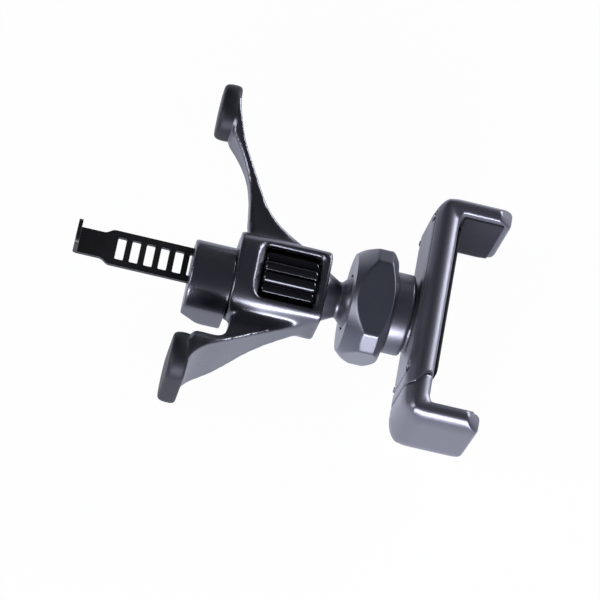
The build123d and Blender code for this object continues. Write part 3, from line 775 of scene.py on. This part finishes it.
for clamp_node, clamp_finish, clamp_slot, voxel in (
    ("clamp_body", clamp_plastic, "black_plastic", 0.34 * MM),
    ("sliding_jaw", clamp_plastic, "black_plastic", 0.34 * MM),
    ("back_cover", clamp_plastic, "black_plastic", 0.28 * MM),
    ("fixed_jaw_pad", foam_pad, "soft_pad", 0.22 * MM),
    ("sliding_jaw_pad", foam_pad, "soft_pad", 0.22 * MM),
    ("bed_pad", foam_pad, "soft_pad", 0.22 * MM),
):
    moulded(clamp_node, clamp_finish, voxel, shape=bull_nose)

# %% [markdown]
# The feet wear rubber boots. A boot covers the plate's face and grips round its rim. It could be
# a shell around the plate, but its inside is never seen, so it is simply the pad's solid, made
# deeper and wider until the plate is inside it, and relaxed until it looks soft.

# %% Mould the rubber boots
BOOT_DEPTH = 4.6 * MM
BOOT_WRAP = 0.75 * MM
BOOT_VOXEL = 0.22 * MM
BOOT_ROUNDS = 36


def boot_rule(node):
    """A rule that grows a foot's pad about its middle."""
    low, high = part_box(node)
    middle = np.array((0, (low.y + high.y) / 2, 0))
    growth = np.array((
        BOOT_DEPTH / high.x,
        1 + 2 * BOOT_WRAP / (high.y - low.y),
        1 + 2 * BOOT_WRAP / (high.z - low.z),
    ))

    def grow_pad(mesh):
        """The pad, deeper and wider."""
        move_points(mesh, middle + (points_of(mesh) - middle) * growth)

    return grow_pad


for boot_node in ("foot_pad_left", "foot_pad_right"):
    moulded(boot_node, rubber, BOOT_VOXEL, BOOT_ROUNDS, shape=boot_rule(boot_node))

# %% [markdown]
# Geometry Nodes make what follows a rule. A tree has named inputs for its sizes, one Math node
# per step of a formula, and an output that ends in real geometry with its material set. The
# evaluated result becomes a plain mesh, and the modifier goes.

# %% Helpers for geometry trees
def new_tree(name, sizes):
    """A geometry tree with an input for each size, and its input and output nodes."""
    tree = bpy.data.node_groups.new(name, "GeometryNodeTree")
    tree.interface.new_socket("Geometry", in_out="INPUT", socket_type="NodeSocketGeometry")
    for label, value in sizes.items():
        kind = "NodeSocketInt" if isinstance(value, int) else "NodeSocketFloat"
        tree.interface.new_socket(label, in_out="INPUT", socket_type=kind).default_value = value
    tree.interface.new_socket("Geometry", in_out="OUTPUT", socket_type="NodeSocketGeometry")
    return tree, add(tree, "NodeGroupInput").outputs, add(tree, "NodeGroupOutput").inputs


def close_tree(tree, geometry, out, material):
    """Ends a tree in real geometry with its material."""
    real = add(tree, "GeometryNodeRealizeInstances")
    paint = add(tree, "GeometryNodeSetMaterial")
    paint.inputs["Material"].default_value = material
    join(tree, geometry, real.inputs[0])
    join(tree, real.outputs[0], paint.inputs[0])
    join(tree, paint.outputs[0], out[0])


def grow(name, tree, sizes):
    """Runs a tree with its inputs set and keeps the result as a plain mesh."""
    piece = placed(name, bpy.data.meshes.new(name))
    grower = piece.modifiers.new("grow", "NODES")
    grower.node_group = tree
    for item in tree.interface.items_tree:
        if item.in_out == "INPUT" and item.name in sizes:
            grower[item.identifier] = sizes[item.name]
    mesh = as_mesh(piece)
    piece.modifiers.clear()
    piece.data = mesh
    return piece


def face_outwards(piece):
    """Turns every face outwards, after the doubles are merged."""
    work = bmesh.new()
    work.from_mesh(piece.data)
    bmesh.ops.recalc_face_normals(work, faces=work.faces)
    work.to_mesh(piece.data)
    work.free()


# %% [markdown]
# The wheel and the nut are rings whose radius follows a rule. They could be cut from cylinders,
# but cuts leave slivers that shade badly. A sheet bent round the axis has even faces instead:
# one direction is the angle, and the other runs along the side, down both end faces and back
# through the bore, so each ring is one closed surface.

# %% A sheet bent round the axis
SIDE_SHARE = 0.74
FACE_SHARE = 0.20
SEAM = 0.001 * MM


def polar_sheet(tree, columns, rows):
    """A grid whose X runs from -1 to 1 and whose Y is an angle round the axis."""
    grid = add(tree, "GeometryNodeMeshGrid")
    grid.inputs["Size X"].default_value = 2.0
    grid.inputs["Size Y"].default_value = 2 * math.pi
    grid.inputs["Vertices X"].default_value = columns
    grid.inputs["Vertices Y"].default_value = rows
    where = add(tree, "GeometryNodeInputPosition")
    parts = add(tree, "ShaderNodeSeparateXYZ")
    join(tree, where.outputs[0], parts.inputs[0])
    return grid.outputs["Mesh"], parts.outputs["X"], parts.outputs["Y"]


def walk(tree, along, start, length):
    """Where the sheet is: its share of the side, of the end face, and its place on X."""
    step = partial(calc, tree)
    outward = step("ABSOLUTE", along)
    side_at = step("DIVIDE", outward, SIDE_SHARE, clamp=True)
    past_side = step("SUBTRACT", outward, SIDE_SHARE)
    face_at = step("DIVIDE", past_side, FACE_SHARE, clamp=True)
    past_face = step("SUBTRACT", outward, SIDE_SHARE + FACE_SHARE)
    bore_at = step("DIVIDE", past_face, 1 - SIDE_SHARE - FACE_SHARE, clamp=True)
    half = step("MULTIPLY", length, 0.5)
    across = step("MULTIPLY", step("MULTIPLY", side_at, half), step("SUBTRACT", 1.0, bore_at))
    middle = step("ADD", start, half)
    return side_at, face_at, step("MULTIPLY_ADD", across, step("SIGN", along), middle)


def bend(tree, sheet, place_x, radius, angle):
    """Lays the sheet round the axis at its radius, and closes the seams."""
    step = partial(calc, tree)
    spot = add(tree, "ShaderNodeCombineXYZ")
    join(tree, place_x, spot.inputs["X"])
    join(tree, step("MULTIPLY", radius, step("COSINE", angle)), spot.inputs["Y"])
    join(tree, step("MULTIPLY", radius, step("SINE", angle)), spot.inputs["Z"])
    move = add(tree, "GeometryNodeSetPosition")
    weld = add(tree, "GeometryNodeMergeByDistance")
    weld.inputs["Distance"].default_value = SEAM
    join(tree, sheet, move.inputs["Geometry"])
    join(tree, spot.outputs[0], move.inputs["Position"])
    join(tree, move.outputs[0], weld.inputs[0])
    return weld.outputs[0]


# %% [markdown]
# The thumb wheel is the part that fingers touch. Its ribs run along the axis, broad and round
# with narrow grooves, and their ends are rounded so that each gives a small glint. A sine with
# half as many waves as there are ribs, taken without its sign, gives one round hump for each
# rib, and a power below one makes the humps broad and the grooves narrow.

# %% Grow the ribbed wheel
RIBS = 16
ROWS_PER_RIB = 20
WHEEL_COLUMNS = 61
RIB_BREADTH = 0.6
ROUND_SHARE = 0.12
ROUND_FULLNESS = 0.98
BORE_ROOM = 0.08 * MM
WHEEL_CREASE = 50
strap_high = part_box("hook_strap")[1]
wheel_sizes = {
    "Start": wheel_low.x, "Length": wheel_high.x - wheel_low.x, "Radius": wheel_high.z,
    "Groove": 1.3 * MM, "Bore": strap_high.y + BORE_ROOM, "Rounding": 0.9 * MM, "Ribs": RIBS,
}

wheel_tree, size, wheel_out = new_tree("ribbed_wheel", wheel_sizes)
step = partial(calc, wheel_tree)
sheet, along, angle = polar_sheet(wheel_tree, WHEEL_COLUMNS, RIBS * ROWS_PER_RIB + 1)
side_at, face_at, place_x = walk(wheel_tree, along, size["Start"], size["Length"])
half_turns = step("MULTIPLY", step("MULTIPLY", angle, 0.5), size["Ribs"])
wave = step("ABSOLUTE", step("SINE", half_turns))
groove = step("SUBTRACT", 1.0, step("POWER", wave, RIB_BREADTH))
round_at = step("DIVIDE", step("SUBTRACT", side_at, 1 - ROUND_SHARE), ROUND_SHARE, clamp=True)
squared = step("POWER", step("MULTIPLY", round_at, ROUND_FULLNESS), 2.0)
rounding = step("SUBTRACT", 1.0, step("SQRT", step("SUBTRACT", 1.0, squared)))
drop = step("ADD", step("MULTIPLY", groove, size["Groove"]),
            step("MULTIPLY", rounding, size["Rounding"]))
rim = step("SUBTRACT", size["Radius"], drop)
inward = step("MULTIPLY", face_at, step("SUBTRACT", rim, size["Bore"]))
radius = step("SUBTRACT", rim, inward)
close_tree(wheel_tree, bend(wheel_tree, sheet, place_x, radius, angle), wheel_out, gloss_plastic)

thumb_wheel = grow("ribbed_wheel", wheel_tree, wheel_sizes)
face_outwards(thumb_wheel)
weigh_normals(thumb_wheel, WHEEL_CREASE)
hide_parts("thumb_wheel")
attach(thumb_wheel, "wheel")
print("wheel triangles:", triangles(thumb_wheel))

# %% [markdown]
# The lock nut is a square bar with cut corners, turned down by a cone at each end. Its surface
# is the lowest of four simple ones, at every angle and place: the flats, the cut corners and
# the two cones. A smooth minimum joins them, and its distance is the rounding of the edges.

# %% Grow the lock nut
FLATS = 4
ROWS_PER_FLAT = 100
NUT_COLUMNS = 101
NUT_CREASE = 40
nut_low, nut_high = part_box("lock_nut")
nut_sizes = {
    "Start": nut_low.x, "Length": nut_high.x - nut_low.x, "Flat": 13.2 * MM,
    "Corner": 15.84 * MM, "Tilt": math.radians(12), "Front": 12.3 * MM, "Front Slope": 0.85,
    "Back": 13.1 * MM, "Back Slope": 1.5, "Bore": 7.05 * MM, "Edge": 0.6 * MM,
}

nut_tree, size, nut_out = new_tree("lock_nut", nut_sizes)
step = partial(calc, nut_tree)
sheet, along, angle = polar_sheet(nut_tree, NUT_COLUMNS, FLATS * ROWS_PER_FLAT + 1)
_, face_at, place_x = walk(nut_tree, along, size["Start"], size["Length"])
turned = step("SUBTRACT", angle, size["Tilt"])
cosine = step("ABSOLUTE", step("COSINE", turned))
sine = step("ABSOLUTE", step("SINE", turned))
flats = step("DIVIDE", size["Flat"], step("MAXIMUM", cosine, sine))
corner_reach = step("MULTIPLY", size["Corner"], math.sqrt(2))
cut_corners = step("DIVIDE", corner_reach, step("ADD", cosine, sine))
from_front = step("SUBTRACT", place_x, size["Start"])
front_cone = step("MULTIPLY_ADD", from_front, size["Front Slope"], size["Front"])
from_back = step("SUBTRACT", size["Length"], from_front)
back_cone = step("MULTIPLY_ADD", from_back, size["Back Slope"], size["Back"])
lowest = flats
for surface in (cut_corners, front_cone, back_cone):
    lowest = step("SMOOTH_MIN", lowest, surface, size["Edge"])
inward = step("MULTIPLY", face_at, step("SUBTRACT", lowest, size["Bore"]))
radius = step("SUBTRACT", lowest, inward)
close_tree(nut_tree, bend(nut_tree, sheet, place_x, radius, angle), nut_out, nut_plastic)

lock_nut = grow("lock_nut_dressed", nut_tree, nut_sizes)
face_outwards(lock_nut)
weigh_normals(lock_nut, NUT_CREASE)
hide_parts("lock_nut")
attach(lock_nut, "nut")
print("nut triangles:", triangles(lock_nut))

# %% [markdown]
# Four small screws hold the clamp's back cover. Each head has a cross recess, cut from a short
# cylinder by two crossed bars. They could be four copies by hand, but one head on the corners
# of a small grid keeps them alike and follows the cover when its size changes.

# %% Grow the cover screws
HEAD_RADIUS = 1.3 * MM
HEAD_DEPTH = 0.7 * MM
HEAD_SIDES = 40
SLOT_LONG = 1.5 * MM
SLOT_SHORT = 0.4 * MM
SLOT_DEPTH = 0.8 * MM
SLOT_LIFT = 0.45 * MM
screw_low, screw_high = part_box("cover_screws")
screw_middle = (screw_low + screw_high) / 2
screw_sizes = {
    "Spread Y": screw_high.y - screw_low.y - 2 * HEAD_RADIUS,
    "Spread Z": screw_high.z - screw_low.z - 2 * HEAD_RADIUS,
    "Head": HEAD_RADIUS, "Depth": HEAD_DEPTH,
}

screw_tree, size, screw_out = new_tree("cross_screws", screw_sizes)
head = add(screw_tree, "GeometryNodeMeshCylinder")
head.inputs["Vertices"].default_value = HEAD_SIDES
join(screw_tree, size["Head"], head.inputs["Radius"])
join(screw_tree, size["Depth"], head.inputs["Depth"])
recess = add(screw_tree, "GeometryNodeJoinGeometry")
for long_side, short_side in ((SLOT_LONG, SLOT_SHORT), (SLOT_SHORT, SLOT_LONG)):
    bar = add(screw_tree, "GeometryNodeMeshCube")
    bar.inputs["Size"].default_value = (long_side, short_side, SLOT_DEPTH)
    lift = add(screw_tree, "GeometryNodeTransform")
    lift.inputs["Translation"].default_value = (0, 0, SLOT_LIFT)
    join(screw_tree, bar.outputs["Mesh"], lift.inputs[0])
    join(screw_tree, lift.outputs[0], recess.inputs[0])
cut = add(screw_tree, "GeometryNodeMeshBoolean", operation="DIFFERENCE")
join(screw_tree, head.outputs["Mesh"], cut.inputs["Mesh 1"])
join(screw_tree, recess.outputs[0], cut.inputs["Mesh 2"])
corners = add(screw_tree, "GeometryNodeMeshGrid")
corners.inputs["Vertices X"].default_value = 2
corners.inputs["Vertices Y"].default_value = 2
join(screw_tree, size["Spread Y"], corners.inputs["Size Y"])
join(screw_tree, size["Spread Z"], corners.inputs["Size X"])
heads = add(screw_tree, "GeometryNodeInstanceOnPoints")
join(screw_tree, corners.outputs["Mesh"], heads.inputs["Points"])
join(screw_tree, cut.outputs["Mesh"], heads.inputs["Instance"])
close_tree(screw_tree, heads.outputs[0], screw_out, plated_steel)

cover_screws = grow("cross_screws", screw_tree, screw_sizes)
cover_screws.data.transform(
    Matrix.Translation((screw_low.x + HEAD_DEPTH / 2, screw_middle.y, screw_middle.z))
    @ Matrix.Rotation(math.radians(-90), 4, "Y"))
weigh_normals(cover_screws, CREASE)
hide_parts("cover_screws")
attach(cover_screws, "clamp")
print("screw triangles:", triangles(cover_screws))

# %% [markdown]
# Two springs draw the lower jaw up. The lower end of each rests on the clamp's ledge and the
# upper end meets the jaw's crossbar. A spring that went with only one of them would part from
# the other. Here each coil is a smooth copy of its CAD solid in plated steel, fixed where it
# rests and attached to neither body.

# %% Dress the springs
for spring_node in ("spring_upper", "spring_lower"):
    coil = placed(spring_node + "_dressed", merged_mesh(spring_node, spring_node))
    coil.data.materials.append(plated_steel)
    coil.data.shade_smooth()
    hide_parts(spring_node)
    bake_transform(coil)
